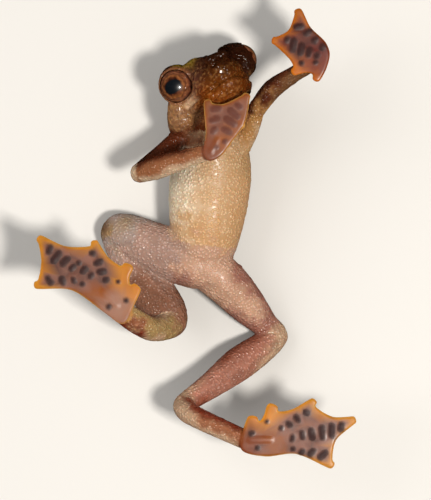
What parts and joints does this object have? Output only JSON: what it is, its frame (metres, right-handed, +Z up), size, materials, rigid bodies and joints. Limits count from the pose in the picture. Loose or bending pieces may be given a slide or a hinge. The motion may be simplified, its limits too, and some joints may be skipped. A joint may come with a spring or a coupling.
{
  "type": "african tree toad",
  "caption": "Life-size still model of a small tree toad lying on its back with webbed, ridged palms and soles raised to one level.",
  "frame": {"origin": "centre of the bounding box on the floor that the toad's back and knees rest on", "axes": "+Y from the legs toward the snout, +Z up, which is the way that the belly, palms and soles face"},
  "size_m": [0.0297, 0.0424, 0.0112],
  "materials": {
    "skin": "moist granular skin, cream belly, pinkish legs and dark brown head",
    "web_skin": "moist yellow-orange web with dark purple-brown pads",
    "eye": "coppery iris with a dark pupil under a clear wet cornea"
  },
  "bodies": {
    "root": {"head": "skin", "lower_jaw": "skin", "torso": "skin", "upper_arm_left": "skin", "upper_arm_right": "skin", "forearm_left": "skin", "forearm_right": "skin", "thigh_left": "skin", "thigh_right": "skin", "shank_left": "skin", "shank_right": "skin", "tarsus_left": "skin", "tarsus_right": "skin", "hand_left": "web_skin", "hand_right": "web_skin", "foot_left": "web_skin", "foot_right": "web_skin", "eye_left": "eye", "eye_right": "eye"}
  },
  "joints": []
}
